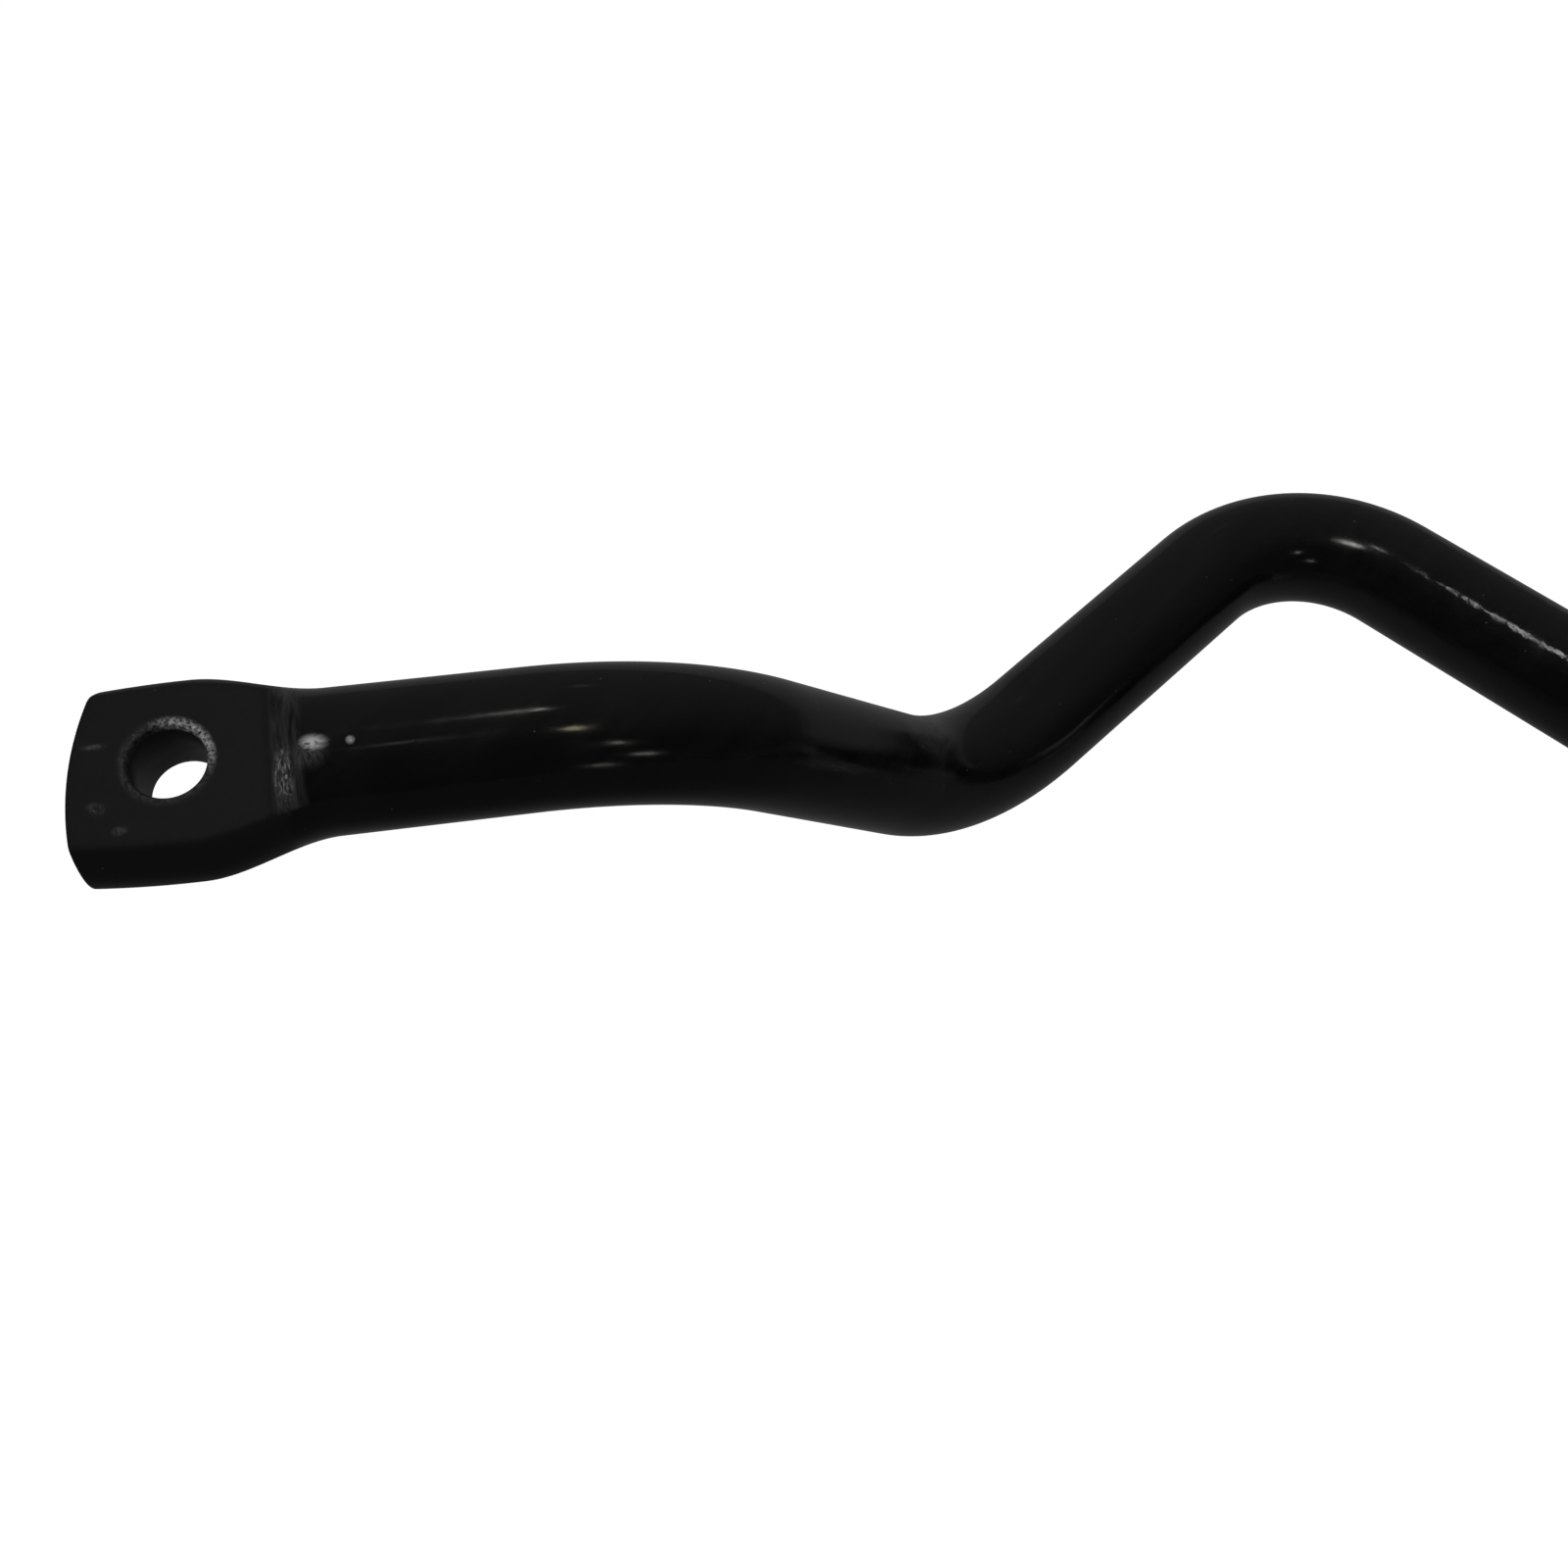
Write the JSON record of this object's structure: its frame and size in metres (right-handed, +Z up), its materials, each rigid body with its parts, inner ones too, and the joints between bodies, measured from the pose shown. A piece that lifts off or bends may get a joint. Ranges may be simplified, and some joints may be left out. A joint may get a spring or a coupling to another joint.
{
  "type": "sway bar",
  "caption": "Bent torsion bar with a cranked arm and a flattened, bored eye at each end, held in rubber-bushed pivots that bolt to a chassis and let it turn.",
  "frame": {"origin": "centre of the footprint, on the plane of the two base plates' undersides, which seat on the chassis", "axes": "+X towards the right of the vehicle, along the bar's centre section; +Y towards the side away from the arms; +Z up, out of the chassis face"},
  "size_m": [0.996, 0.3068, 0.1078],
  "materials": {
    "bar_paint": "gloss black paint over forged spring steel",
    "bushing_rubber": "matt moulded rubber",
    "bracket_zinc": "zinc plated steel, satin",
    "fastener_zinc": "zinc plated steel, bright",
    "ring_steel": "plain steel, crimped"
  },
  "bodies": {
    "bar": {"sway_bar": "bar_paint", "left_stop_ring": "ring_steel", "right_stop_ring": "ring_steel"},
    "left_pivot": {"left_bushing": "bushing_rubber", "left_strap": "bracket_zinc", "left_base_plate": "bracket_zinc", "left_front_stud": "fastener_zinc", "left_front_washer": "fastener_zinc", "left_front_nut": "fastener_zinc", "left_rear_stud": "fastener_zinc", "left_rear_washer": "fastener_zinc", "left_rear_nut": "fastener_zinc"},
    "right_pivot": {"right_bushing": "bushing_rubber", "right_strap": "bracket_zinc", "right_base_plate": "bracket_zinc", "right_front_stud": "fastener_zinc", "right_front_washer": "fastener_zinc", "right_front_nut": "fastener_zinc", "right_rear_stud": "fastener_zinc", "right_rear_washer": "fastener_zinc", "right_rear_nut": "fastener_zinc"}
  },
  "joints": [
    {"name": "left_pivot_turn", "type": "hinge", "parent": "bar", "child": "left_pivot", "pos_m": [-0.25, 0.08543, 0.0263], "axis": [1, 0, 0], "range_deg": [-28, 28]},
    {"name": "right_pivot_turn", "type": "hinge", "parent": "bar", "child": "right_pivot", "pos_m": [0.25, 0.08543, 0.0263], "axis": [1, 0, 0], "range_deg": [-28, 28]}
  ]
}
